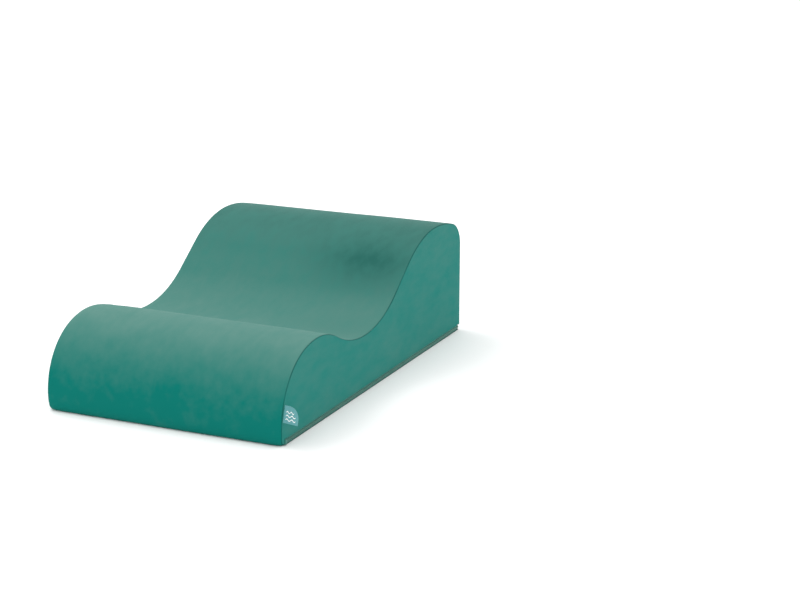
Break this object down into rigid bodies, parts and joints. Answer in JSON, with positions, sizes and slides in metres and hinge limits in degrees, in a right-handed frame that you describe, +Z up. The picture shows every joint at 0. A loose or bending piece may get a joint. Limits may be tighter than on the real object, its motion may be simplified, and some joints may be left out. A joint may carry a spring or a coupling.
{
  "type": "wave slide",
  "caption": "Soft foam play slide with a low rounded hump, a valley and a high crest, in a zipped velvet cover.",
  "frame": {"origin": "centre of the base, on the floor", "axes": "+X from the low front hump to the high rear crest, +Y to the left side, +Z up"},
  "size_m": [1.0039, 0.6658, 0.31],
  "materials": {
    "velvet": "matte",
    "grip_cloth": "matte",
    "liner_cloth": "matte",
    "foam": "matte",
    "zip_tape": "matte",
    "zip_coil": "satin",
    "slider_metal": "satin",
    "label_ribbon": "satin",
    "care_ribbon": "satin"
  },
  "bodies": {
    "cover_and_foam": {"foam_core": "foam", "inner_liner": "liner_cloth", "top_panel": "velvet", "left_side_panel": "velvet", "right_side_panel": "velvet", "base_panel": "grip_cloth", "zip_tape_upper": "zip_tape", "zip_tape_lower": "zip_tape", "zip_coil_upper": "zip_coil", "zip_coil_lower": "zip_coil", "zip_top_stop": "zip_coil", "zip_bottom_stop": "zip_coil", "zip_garage": "velvet", "zip_end_tab": "zip_tape"},
    "slider": {"zip_slider": "slider_metal", "zip_slider_cap": "slider_metal"},
    "pull_tab": {"zip_pull_tab": "slider_metal"},
    "side_flag": {"side_label": "label_ribbon"},
    "care_flag": {"care_label": "care_ribbon"}
  },
  "joints": [
    {"name": "zip_slide", "type": "slide", "parent": "cover_and_foam", "child": "slider", "axis": [1, 0, 0], "range_m": [0, 0.93]},
    {"name": "pull_tab_turn", "type": "hinge", "parent": "slider", "child": "pull_tab", "pos_m": [-0.4685, 0.3023, 0.0085], "axis": [0, 0, 1], "range_deg": [0, 120]},
    {"name": "side_label_flap", "type": "hinge", "parent": "cover_and_foam", "child": "side_flag", "pos_m": [-0.49204, -0.30169, 0.07495], "axis": [0.2349, -0.0414, 0.9711], "range_deg": [-75, 90], "stiffness_Nm_per_rad": 0.001},
    {"name": "care_label_flap", "type": "hinge", "parent": "cover_and_foam", "child": "care_flag", "pos_m": [0.496, 0.3009, 0.095], "axis": [0, 0, 1], "range_deg": [-80, 80], "stiffness_Nm_per_rad": 0.001}
  ]
}
